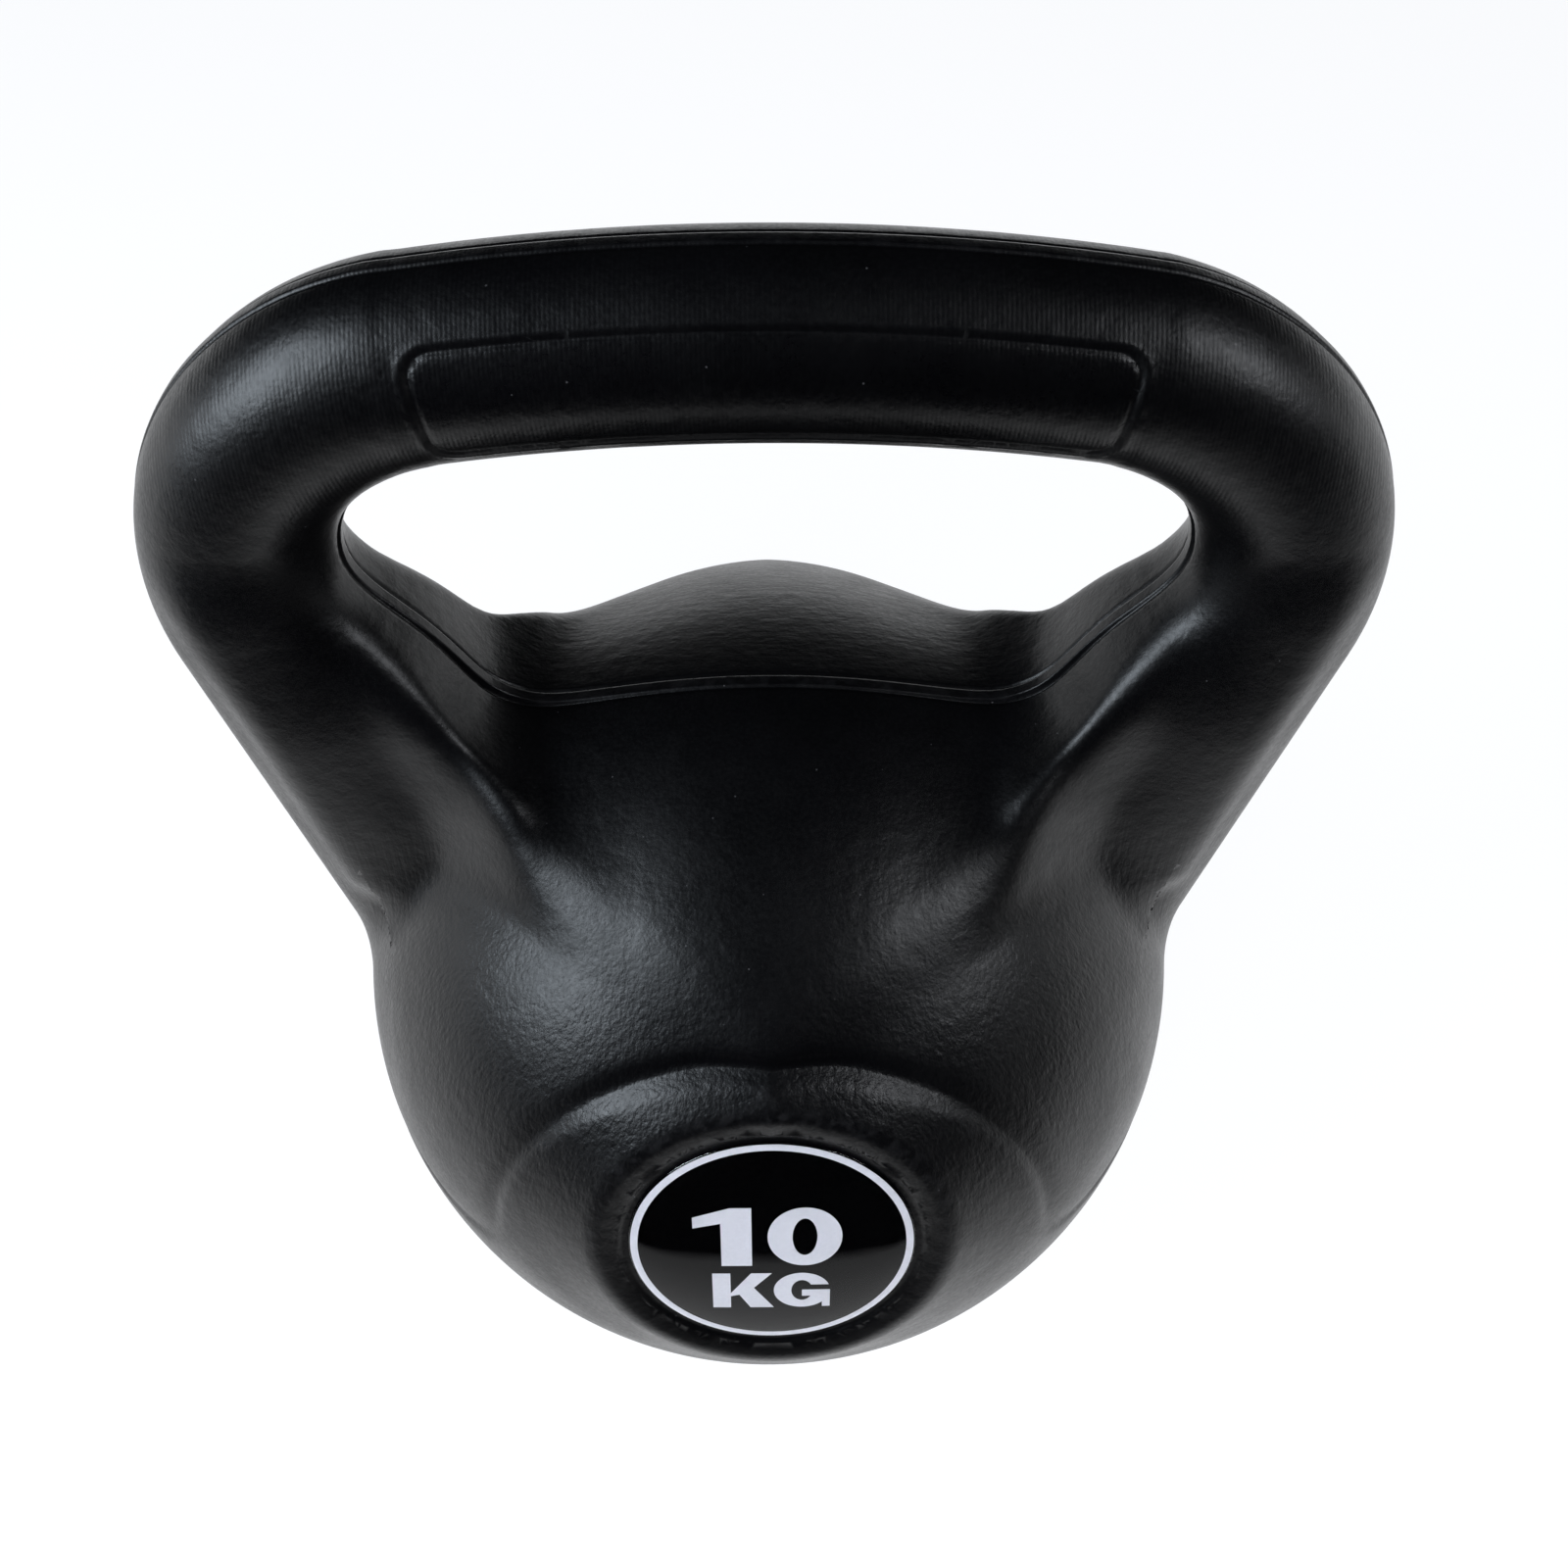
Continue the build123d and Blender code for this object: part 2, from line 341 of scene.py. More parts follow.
def brow_relief(x, y, z):
    below = brow_distance(x, z)
    width = np.where(below < 0, BROW_WIDTH_ABOVE, BROW_WIDTH_BELOW)
    middle = ease((62 - np.abs(x)) / 60)
    depth = BROW_DEPTH_AT_ENDS + BROW_DEPTH_GAIN * middle
    off_sides = ease((np.abs(y) - 12) / 16)
    off_underside = ease((z + 12) / 14)
    on_front = off_sides * off_underside
    return -depth * groove(below, width) * on_front


def panel_relief(x, y, z):
    outside, along = panel_distance(x, y, z)
    cut = PANEL_GROOVE_DEPTH * groove(outside, PANEL_GROOVE_WIDTH)
    bead = PANEL_BEAD_RISE * groove(outside - PANEL_BEAD_PLACE, PANEL_BEAD_WIDTH)
    sunk = PANEL_SUNK * ease(-outside / PANEL_FLANK)
    past_grip = np.abs(along - GRIP_MIDDLE) - GRIP_HALF_LENGTH
    thicker_ends = GRIP_STEP_RISE * ease(past_grip / GRIP_STEP_LENGTH)
    step_fade = ease((GRIP_STEP_END - np.abs(along)) / GRIP_STEP_FADE)
    near_bar = ease((z - HANDLE_BAR_START) / HANDLE_BAR_LENGTH)
    return near_bar * (bead - cut - sunk + thicker_ends * step_fade)


def boss_relief(x, y, z):
    """Raised ring round the label, dished inside, run out to the ball outside."""
    radius, height = label_coordinates(x, y, z)
    ball_height = np.sqrt(np.maximum(BALL_RADIUS ** 2 - radius ** 2, 1.0))
    inwards = (RIM_RADIUS - radius) / RIM_DISH_WIDTH
    inside = RIM_HEIGHT - RIM_DISH * inwards * np.abs(inwards) - ball_height
    run_out = np.clip((radius - RIM_RADIUS) / (BOSS_RADIUS - RIM_RADIUS), -0.5, 1.0)
    outside = BOSS_RISE * (1 - run_out) ** 2
    lift = blend_union(inside, outside, RIM_ROUND)
    under_brow = BROW_SLOPE * np.maximum(brow_distance(x, z), 0)
    lift = np.maximum(blend_union(lift, under_brow, BROW_ROUND), 0)
    return np.where((radius < BOSS_RADIUS) & (height > 60), lift, 0.0)


def shell_surface(x, y, z):
    form = plain_form(x, y, z)
    form = form - seam_relief(y) - brow_relief(x, y, z) - panel_relief(x, y, z) - boss_relief(x, y, z)
    radius, height = label_coordinates(x, y, z)
    seat = blend_cut(radius - SEAT_EDGE, SEAT_FLOOR - height, SEAT_CORNER_ROUND)
    form = blend_cut(form, -seat, SEAT_LIP_ROUND)
    base = -BALL_CENTRE_HEIGHT
    form = blend_cut(form, base - z, FOOT_EDGE_ROUND)
    from_axis = np.hypot(x, y)
    recess = np.maximum(from_axis - RECESS_RADIUS, z - base - RECESS_DEPTH)
    form = blend_cut(form, -recess, RECESS_ROUND)
    pocket = np.maximum(from_axis - PLUG_POCKET_RADIUS, z - base - PLUG_POCKET_DEPTH)
    return blend_cut(form, -pocket, PLUG_POCKET_ROUND)


# ---- turning the shape into a mesh ----
def surface_slope(points, reach=0.03):
    slope = np.empty_like(points)
    for axis in range(3):
        step = np.zeros(3)
        step[axis] = reach
        ahead = shell_surface(*(points + step).T)
        behind = shell_surface(*(points - step).T)
        slope[:, axis] = (ahead - behind) / (2 * reach)
    return slope


def pull_to_surface(points, rounds=4, flattest=0.2, longest=1.5):
    """Move points down the slope onto the surface; those by the seam keep their distance from it."""
    for _ in range(rounds):
        slope = surface_slope(points)
        slope[np.abs(points[:, 1]) < SEAM_HELD, 1] = 0.0
        steep = np.maximum((slope ** 2).sum(axis=1), flattest)
        step = shell_surface(*points.T) / steep
        points = points - np.clip(step, -longest, longest)[:, None] * slope
    return points


def spaced(low, high, step):
    return np.linspace(low, high, int(round((high - low) / step)) + 1)


def grid_lines(step):
    """Grid over the shell, with close lines on each side of the mould seam."""
    across = spaced(-GRID_HALF_WIDTH, GRID_HALF_WIDTH, step)
    up = spaced(GRID_BOTTOM, GRID_TOP, step)
    beyond = spaced(SEAM_GRID[-1] + step * 0.85, GRID_HALF_DEPTH, step)
    half = np.concatenate([np.array(SEAM_GRID), beyond])
    return across, np.concatenate([-half[::-1], half]), up


def surface_net(lines):
    """Quads through every grid cell that the shell's surface crosses."""
    mesh = np.meshgrid(*lines, indexing="ij")
    field = shell_surface(*mesh)
    solid = field < 0
    counts = [len(line) for line in lines]
    cells = [count - 1 for count in counts]
    total = np.zeros(cells + [3])
    hits = np.zeros(cells)
    crossings = []
    for axis in range(3):
        low = [slice(None)] * 3
        high = [slice(None)] * 3
        low[axis] = slice(0, -1)
        high[axis] = slice(1, None)
        changed = solid[tuple(low)] != solid[tuple(high)]
        index = np.argwhere(changed)
        keys = tuple(index.T)
        ahead = index.copy()
        ahead[:, axis] += 1
        near = field[keys]
        far = field[tuple(ahead.T)]
        share = near / (near - far)
        place = np.stack([lines[a][index[:, a]] for a in range(3)], axis=1)
        gap = lines[axis][ahead[:, axis]] - lines[axis][index[:, axis]]
        place[:, axis] += share * gap
        crossings.append((axis, index, solid[keys]))
        others = [a for a in range(3) if a != axis]
        for back_a in (0, 1):
            for back_b in (0, 1):
                cell = index.copy()
                cell[:, others[0]] -= back_a
                cell[:, others[1]] -= back_b
                np.add.at(total, tuple(cell.T), place)
                np.add.at(hits, tuple(cell.T), 1)
    used = hits > 0
    number = np.full(cells, -1)
    number[used] = np.arange(used.sum())
    points = total[used] / hits[used][:, None]
    quads = []
    for axis, index, starts_solid in crossings:
        first = (axis + 1) % 3
        second = (axis + 2) % 3
        ring = []
        for back_first, back_second in ((1, 1), (0, 1), (0, 0), (1, 0)):
            cell = index.copy()
            cell[:, first] -= back_first
            cell[:, second] -= back_second
            ring.append(number[tuple(cell.T)])
        ring = np.stack(ring, axis=1)
        ring[~starts_solid] = ring[~starts_solid][:, ::-1]
        quads.append(ring)
    return points, np.concatenate(quads)


def split_quads(points, quads):
    """Two triangles from each quad, along its shorter diagonal."""
    one = np.linalg.norm(points[quads[:, 0]] - points[quads[:, 2]], axis=1)
    two = np.linalg.norm(points[quads[:, 1]] - points[quads[:, 3]], axis=1)
    turned = np.where((one <= two)[:, None], quads, np.roll(quads, -1, axis=1))
    return np.concatenate([turned[:, [0, 1, 2]], turned[:, [0, 2, 3]]])


def split_triangles(triangles, middles):
    """Split each triangle at the marked middles of its edges."""
    marked = middles >= 0
    count = marked.sum(axis=1)
    pieces = [triangles[count == 0]]
    start = np.where(count == 1, marked.argmax(axis=1), (marked.argmin(axis=1) + 1) % 3)
    start = np.where(count == 3, 0, start)
    order = (start[:, None] + np.arange(3)) % 3
    corner = np.take_along_axis(triangles, order, axis=1)
    middle = np.take_along_axis(middles, order, axis=1)
    patterns = {
        1: (("a", "ab", "c"), ("ab", "b", "c")),
        2: (("ab", "b", "bc"), ("a", "ab", "bc"), ("a", "bc", "c")),
        3: (("a", "ab", "ca"), ("ab", "b", "bc"), ("ca", "bc", "c"), ("ab", "bc", "ca")),
    }
    for marks, pattern in patterns.items():
        pick = count == marks
        named = {
            "a": corner[pick, 0], "b": corner[pick, 1], "c": corner[pick, 2],
            "ab": middle[pick, 0], "bc": middle[pick, 1], "ca": middle[pick, 2],
        }
        for names in pattern:
            pieces.append(np.stack([named[name] for name in names], axis=1))
    return np.concatenate(pieces)


def refine(points, triangles, most, smallest_error, shortest):
    """Add points in the middle of edges that cut across fine relief."""
    ends = np.concatenate([triangles[:, [0, 1]], triangles[:, [1, 2]], triangles[:, [2, 0]]])
    ends = np.sort(ends, axis=1)
    edges, back = np.unique(ends, axis=0, return_inverse=True)
    back = back.reshape(-1)
    start = points[edges[:, 0]]
    end = points[edges[:, 1]]
    length = np.linalg.norm(start - end, axis=1)
    middle = (start + end) / 2
    error = np.abs(shell_surface(*middle.T))
    off_seam = np.abs(middle[:, 1]) > SEAM_NOT_REFINED
    wanted = (error > smallest_error) & (length > shortest) & off_seam
    room = max(0, (most - len(triangles)) // 2)
    if wanted.sum() > room:
        ranked = np.sort(error[wanted])[::-1]
        wanted &= error >= ranked[max(room - 1, 0)]
    new_index = np.full(len(edges), -1)
    new_index[wanted] = len(points) + np.arange(wanted.sum())
    added = pull_to_surface(middle[wanted], 3)
    count = len(triangles)
    middles = np.stack([new_index[back[i * count:(i + 1) * count]] for i in range(3)], axis=1)
    return np.concatenate([points, added]), split_triangles(triangles, middles)


def make_shell_skin():
    step = GRID_STEP
    points, quads = surface_net(grid_lines(step))
    points = pull_to_surface(points)
    triangles = split_quads(points, quads)
    for error, shortest in ((0.05, 1.4), (0.03, 0.8), (0.02, 0.45)):
        points, triangles = refine(points, triangles, MOST_TRIANGLES, error, shortest)
    normals = surface_slope(points)
    normals /= np.maximum(np.linalg.norm(normals, axis=1), 1e-9)[:, None]
    placed = points * MM
    placed[:, 2] += BALL_CENTRE_HEIGHT * MM
    mesh = bpy.data.meshes.new("shell_skin")
    mesh.from_pydata(placed.tolist(), [], triangles.tolist())
    mesh.polygons.foreach_set("use_smooth", np.ones(len(triangles), dtype=bool))
    wear = mesh.attributes.new("edge_wear", "FLOAT", "POINT")
    wear.data.foreach_set("value", edge_wear(points).astype(np.float32))
    panel = mesh.attributes.new("grip_panel", "FLOAT", "POINT")
    panel.data.foreach_set("value", on_panel(points).astype(np.float32))
    mesh.normals_split_custom_set_from_vertices(normals.tolist())
    return place_piece("shell_skin", mesh)


def edge_wear(points):
    """How rubbed each spot is: the seam's ridge, the brow, the label rim and the foot."""
    x, y, z = points.T
    seam = ease((2.0 - np.abs(y)) / 1.2) * 0.6
    radius, height = label_coordinates(x, y, z)
    rim = groove(radius - RIM_RADIUS, 1.5) * (height > 80)
    brow = groove(brow_distance(x, z) - 2.0, 1.2) * (np.abs(y) > 30) * (z > -10) * 0.7
    foot = ease((-BALL_CENTRE_HEIGHT + FOOT_EDGE_ROUND - z) / FOOT_EDGE_ROUND)
    return np.clip(seam + rim + brow + foot, 0, 1)


def on_panel(points):
    outside = panel_distance(*points.T)[0]
    near_bar = ease((points[:, 2] - HANDLE_BAR_START) / HANDLE_BAR_LENGTH)
    return ease(-outside) * near_bar


# ---- pieces ----
def place_piece(name, mesh):
    piece = bpy.data.objects.new(name, mesh)
    bpy.context.scene.collection.objects.link(piece)
    return piece


def label_place(side, height):
    """Frame on the label's axis, Z out of the label and Y up it; side is -1 in front, 1 behind."""
    turn = 0.0 if side < 0 else math.pi
    tilt = Matrix.Rotation(math.radians(90) - LABEL_TILT, 4, "X")
    lift = Matrix.Translation((0, 0, BALL_CENTRE_HEIGHT * MM))
    out = Matrix.Translation((0, 0, height * MM))
    return lift @ Matrix.Rotation(turn, 4, "Z") @ tilt @ out


def math_node(nodes, links, operation, *values):
    """Math node whose sockets take numbers or other nodes' outputs."""
    node = nodes.new("ShaderNodeMath")
    node.operation = operation
    for slot, value in enumerate(values):
        if isinstance(value, (int, float)):
            node.inputs[slot].default_value = value
        else:
            links.new(value, node.inputs[slot])
    return node.outputs[0]


def dome_tree():
    """Lens of cast resin: a ball pressed flat below and to a full, round-edged crown above."""
    tree = bpy.data.node_groups.new("cast_resin_dome", "GeometryNodeTree")
    face = tree.interface
    for size in ("Radius", "Crown Height", "Bedding", "Fullness"):
        face.new_socket(name=size, in_out="INPUT", socket_type="NodeSocketFloat")
    face.new_socket(name="Material", in_out="INPUT", socket_type="NodeSocketMaterial")
    face.new_socket(name="Geometry", in_out="OUTPUT", socket_type="NodeSocketGeometry")
    nodes = tree.nodes
    links = tree.links
    given = nodes.new("NodeGroupInput")
    result = nodes.new("NodeGroupOutput")
    ball = nodes.new("GeometryNodeMeshUVSphere")
    ball.inputs["Segments"].default_value = 160
    ball.inputs["Rings"].default_value = 64
    ball.inputs["Radius"].default_value = 1.0
    position = nodes.new("GeometryNodeInputPosition")
    parts = nodes.new("ShaderNodeSeparateXYZ")
    links.new(position.outputs[0], parts.inputs[0])

    def work_out(operation, *values):
        return math_node(nodes, links, operation, *values)

    x, y, z = parts.outputs
    across = work_out("ADD", work_out("POWER", x, 2.0), work_out("POWER", y, 2.0))
    from_axis = work_out("MINIMUM", work_out("SQRT", across), 1.0)
    falling = work_out("SUBTRACT", 1.0, work_out("POWER", from_axis, given.outputs["Fullness"]))
    rounded = work_out("SQRT", work_out("MAXIMUM", falling, 0.0))
    crown = work_out("MULTIPLY", rounded, given.outputs["Crown Height"])
    above = work_out("GREATER_THAN", z, 0.0001)
    below = work_out("SUBTRACT", 1.0, above)
    bed = work_out("MULTIPLY", below, work_out("MULTIPLY", given.outputs["Bedding"], -1.0))
    height = work_out("ADD", work_out("MULTIPLY", above, crown), bed)
    wide = work_out("MULTIPLY", x, given.outputs["Radius"])
    deep = work_out("MULTIPLY", y, given.outputs["Radius"])
    joined = nodes.new("ShaderNodeCombineXYZ")
    links.new(wide, joined.inputs[0])
    links.new(deep, joined.inputs[1])
    links.new(height, joined.inputs[2])
    shaped = nodes.new("GeometryNodeSetPosition")
    links.new(ball.outputs["Mesh"], shaped.inputs["Geometry"])
    links.new(joined.outputs[0], shaped.inputs["Position"])
    smooth = nodes.new("GeometryNodeSetShadeSmooth")
    links.new(shaped.outputs[0], smooth.inputs[0])
    real = nodes.new("GeometryNodeRealizeInstances")
    links.new(smooth.outputs[0], real.inputs[0])
    coated = nodes.new("GeometryNodeSetMaterial")
    links.new(real.outputs[0], coated.inputs["Geometry"])
    links.new(given.outputs["Material"], coated.inputs["Material"])
    links.new(coated.outputs[0], result.inputs[0])
    return tree


def run_tree(name, tree, values):
    """Plain mesh that the tree gives for these named values."""
    carrier = place_piece(name + "_maker", bpy.data.meshes.new(name + "_maker"))
    modifier = carrier.modifiers.new("maker", "NODES")
    modifier.node_group = tree
    for item in tree.interface.items_tree:
        if item.item_type == "SOCKET" and item.in_out == "INPUT":
            modifier[item.identifier] = values[item.name]
    depsgraph = bpy.context.evaluated_depsgraph_get()
    mesh = bpy.data.meshes.new_from_object(carrier.evaluated_get(depsgraph))
    carrier.modifiers.remove(modifier)
    bpy.data.objects.remove(carrier)
    mesh.name = name
    return mesh


def make_label_dome(name, side, tree, resin):
    mesh = run_tree(name, tree, {
        "Radius": LABEL_RADIUS * MM,
        "Crown Height": DOME_HEIGHT * MM,
        "Bedding": DOME_BEDDING * MM,
        "Fullness": DOME_FULLNESS,
        "Material": resin,
    })
    mesh.transform(label_place(side, SEAT_FLOOR + FILM_THICKNESS))
    return place_piece(name, mesh)


# ---- materials ----
class Finish:
    """Small helper that lays out one procedural material."""

    def __init__(self, name):
        self.material = bpy.data.materials.new(name)
        self.material.use_nodes = True
        self.nodes = self.material.node_tree.nodes
        self.links = self.material.node_tree.links
        self.shader = self.nodes["Principled BSDF"]
        self.place = self.nodes.new("ShaderNodeTexCoord").outputs["Object"]

    def stretched(self, scale):
        node = self.nodes.new("ShaderNodeMapping")
        node.inputs["Scale"].default_value = scale
        self.links.new(self.place, node.inputs["Vector"])
        return node.outputs[0]

    def noise(self, scale, detail=2.0, roughness=0.5, where=None):
        node = self.nodes.new("ShaderNodeTexNoise")
        node.inputs["Scale"].default_value = scale
        node.inputs["Detail"].default_value = detail
        node.inputs["Roughness"].default_value = roughness
        self.links.new(where or self.place, node.inputs["Vector"])
        return node.outputs["Fac"]

    def specks(self, scale, where=None):
        node = self.nodes.new("ShaderNodeTexVoronoi")
        node.inputs["Scale"].default_value = scale
        self.links.new(where or self.place, node.inputs["Vector"])
        return node.outputs["Distance"]

    def span(self, value, low, high, out_low=0.0, out_high=1.0):
        node = self.nodes.new("ShaderNodeMapRange")
        node.inputs["From Min"].default_value = low
        node.inputs["From Max"].default_value = high
        node.inputs["To Min"].default_value = out_low
        node.inputs["To Max"].default_value = out_high
        self.links.new(value, node.inputs["Value"])
        return node.outputs[0]

    def band(self, value, start, full, leaving, gone):
        """1 from full to leaving, fading to 0 at start and at gone."""
        return self.maths("MULTIPLY", self.span(value, start, full), self.span(value, gone, leaving))

    def maths(self, operation, first, second):
        return math_node(self.nodes, self.links, operation, first, second)

    def blend(self, share, first, second):
        node = self.nodes.new("ShaderNodeMix")
        node.data_type = "RGBA"
        for slot, value in ((6, first), (7, second)):
            if isinstance(value, tuple):
                node.inputs[slot].default_value = value + (1.0,)
            else:
                self.links.new(value, node.inputs[slot])
        self.links.new(share, node.inputs[0])
        return node.outputs[2]

    def bump(self, height, depth, before=None):
        """depth is the relief's real height in metres for a height of 1."""
        node = self.nodes.new("ShaderNodeBump")
        node.inputs["Distance"].default_value = depth
        self.links.new(height, node.inputs["Height"])
        if before is not None:
            self.links.new(before, node.inputs["Normal"])
        return node.outputs[0]

    def attribute(self, name):
        node = self.nodes.new("ShaderNodeAttribute")
        node.attribute_name = name
        return node.outputs["Fac"]

    def axis(self, index):
        node = self.nodes.new("ShaderNodeSeparateXYZ")
        self.links.new(self.place, node.inputs[0])
        return node.outputs[index]

    def set(self, **values):
        for name, value in values.items():
            socket = self.shader.inputs[name.replace("_", " ")]
            if isinstance(value, (int, float)):
                socket.default_value = value
            elif isinstance(value, tuple):
                socket.default_value = value + (1.0,)
            else:
                self.links.new(value, socket)


def satin_black_shell():
    finish = Finish("satin_black_shell")
    height = finish.axis(2)
    wear = finish.attribute("edge_wear")
    panel = finish.attribute("grip_panel")
    cloudy = finish.noise(28, 3)
    deep_black = (0.0004, 0.0004, 0.0006)
    soft_black = (0.0009, 0.0009, 0.0012)
    tint = finish.blend(finish.span(cloudy, 0.35, 0.65), deep_black, soft_black)
    rubbed = finish.maths("MULTIPLY", wear, finish.span(finish.noise(420, 3), 0.45, 0.62))
    rubbed_grey = (0.020, 0.020, 0.022)
    worn = finish.blend(finish.maths("MULTIPLY", rubbed, 0.16), tint, rubbed_grey)
    dust = finish.span(finish.specks(160), 0.035, 0.02)
    dust_grey = (0.05, 0.05, 0.054)
    dusty = finish.blend(finish.maths("MULTIPLY", dust, 0.5), worn, dust_grey)
    patches = finish.span(finish.noise(60, 4, 0.6), 0.3, 0.7, 0.33, 0.41)
    grain = finish.span(finish.noise(1300, 2), 0.3, 0.7, -0.04, 0.04)
    roughness = finish.maths("ADD", patches, grain)
    polished = finish.maths("SUBTRACT", roughness, finish.maths("MULTIPLY", panel, 0.06))
    orange_peel = finish.bump(finish.noise(300, 3), ORANGE_PEEL_DEPTH)
    fine_grain = finish.bump(finish.noise(1300, 3), FINE_GRAIN_DEPTH, orange_peel)
    on_hump = finish.band(height, 0.150, 0.172, 0.190, 0.215)
    wrinkle = finish.noise(1.0, 3, 0.6, finish.stretched((160, 520, 520)))
    behind = finish.span(finish.axis(1), -0.002, 0.004)
    hump_back = finish.maths("MULTIPLY", on_hump, behind)
    wrinkles = finish.bump(finish.maths("MULTIPLY", wrinkle, hump_back), WRINKLE_DEPTH, fine_grain)
    brushed_place = finish.stretched((1100, 1100, 50))
    brushing = finish.noise(1.0, 2, 0.5, brushed_place)
    on_ball = finish.band(height, 0.100, 0.125, 0.150, 0.175)
    brushed = finish.bump(finish.maths("MULTIPLY", brushing, on_ball), BRUSHING_DEPTH, wrinkles)
    ribs_place = finish.stretched((1, 0, 0))
    ribs = finish.nodes.new("ShaderNodeTexWave")
    ribs.inputs["Scale"].default_value = 420
    ribs.inputs["Distortion"].default_value = 0.6
    finish.links.new(ribs_place, ribs.inputs["Vector"])
    on_grip = finish.span(height, 0.235, 0.245)
    ribbed = finish.bump(finish.maths("MULTIPLY", ribs.outputs["Fac"], on_grip), RIB_DEPTH, brushed)
    finish.set(Base_Color=dusty, Roughness=polished, Normal=ribbed)
    finish.shader.inputs["IOR"].default_value = 1.45
    finish.shader.inputs["Specular IOR Level"].default_value = 0.35
    return finish.material


def black_label_film():
    finish = Finish("black_label_film")
    mottle = finish.span(finish.noise(900, 2), 0.35, 0.65)
    colour = finish.blend(mottle, (0.0010, 0.0010, 0.0012), (0.0020, 0.0020, 0.0023))
    roughness = finish.span(finish.noise(400, 2), 0.3, 0.7, 0.30, 0.42)
    finish.set(Base_Color=colour, Roughness=roughness, Normal=finish.bump(finish.noise(2200, 2), 0.00001))
    finish.shader.inputs["Specular IOR Level"].default_value = 0.0
    finish.shader.inputs["IOR"].default_value = 1.0
    return finish.material


def white_label_ink():
    finish = Finish("white_label_ink")
    mottle = finish.span(finish.noise(1400, 3), 0.3, 0.7)
    colour = finish.blend(mottle, (0.73, 0.735, 0.80), (0.78, 0.785, 0.85))
    roughness = finish.span(finish.noise(700, 2), 0.3, 0.7, 0.45, 0.6)
    finish.set(Base_Color=colour, Roughness=roughness, Normal=finish.bump(finish.noise(2600, 2), 0.000015))
    return finish.material


def clear_cast_resin():
    finish = Finish("clear_cast_resin")
    roughness = finish.span(finish.noise(500, 2), 0.3, 0.7, 0.015, 0.035)
    tint = finish.blend(finish.noise(120, 2), (0.985, 0.985, 1.0), (0.995, 0.995, 1.0))
    finish.set(Base_Color=tint, Roughness=roughness, Normal=finish.bump(finish.noise(90, 1), 0.00003))
    finish.shader.inputs["Transmission Weight"].default_value = 1.0
    finish.shader.inputs["IOR"].default_value = 1.5
    return finish.material


def moulded_plug_plastic():
    finish = Finish("moulded_plug_plastic")
    mottle = finish.span(finish.noise(300, 3), 0.3, 0.7)
    colour = finish.blend(mottle, (0.010, 0.010, 0.011), (0.02, 0.02, 0.021))
    roughness = finish.span(finish.noise(500, 2), 0.3, 0.7, 0.42, 0.6)
    rings = finish.nodes.new("ShaderNodeTexWave")
    rings.wave_type = "RINGS"
    rings.rings_direction = "Z"
    rings.inputs["Scale"].default_value = 260
    finish.links.new(finish.place, rings.inputs["Vector"])
    turned = finish.bump(rings.outputs["Fac"], 0.00003)
    moulded = finish.bump(finish.noise(1200, 2), 0.00005, turned)
    finish.set(Base_Color=colour, Roughness=roughness, Normal=moulded)
    return finish.material


def grey_cement():
    finish = Finish("grey_cement")
    sand = finish.span(finish.noise(700, 4, 0.7), 0.3, 0.7)
    colour = finish.blend(sand, (0.20, 0.195, 0.185), (0.34, 0.33, 0.31))
    pits = finish.span(finish.specks(260), 0.05, 0.25)
    rough = finish.bump(finish.noise(900, 4, 0.7), 0.0004)
    roughness = finish.span(sand, 0, 1, 0.85, 0.95)
    finish.set(Base_Color=colour, Roughness=roughness, Normal=finish.bump(pits, 0.0003, rough))
    return finish.material


def drawn_steel_rod():
    finish = Finish("drawn_steel_rod")
    streaks = finish.noise(1.0, 3, 0.6, finish.stretched((60, 1400, 1400)))
    colour = finish.blend(finish.span(streaks, 0.3, 0.7), (0.32, 0.30, 0.28), (0.48, 0.46, 0.44))
    roughness = finish.span(streaks, 0.3, 0.7, 0.3, 0.5)
    finish.set(Base_Color=colour, Roughness=roughness, Normal=finish.bump(streaks, 0.00003))
    finish.shader.inputs["Metallic"].default_value = 1.0
    return finish.material


def give_finish(piece, material):
    if not piece.data.materials:
        piece.data.materials.append(material)
    for slot in piece.material_slots:
        slot.material = material


# ---- floor, lights and camera ----
def seen_by_camera(nodes):
    return nodes.new("ShaderNodeLightPath").outputs["Is Camera Ray"]


def fade(nodes, links, value, ends, low=0.0, high=1.0):
    """Low before the first end, high past the second."""
    node = nodes.new("ShaderNodeMapRange")
    node.inputs["From Min"].default_value = ends[0]
    node.inputs["From Max"].default_value = ends[1]
    node.inputs["To Min"].default_value = low
    node.inputs["To Max"].default_value = high
    links.new(value, node.inputs["Value"])
    return node.outputs[0]


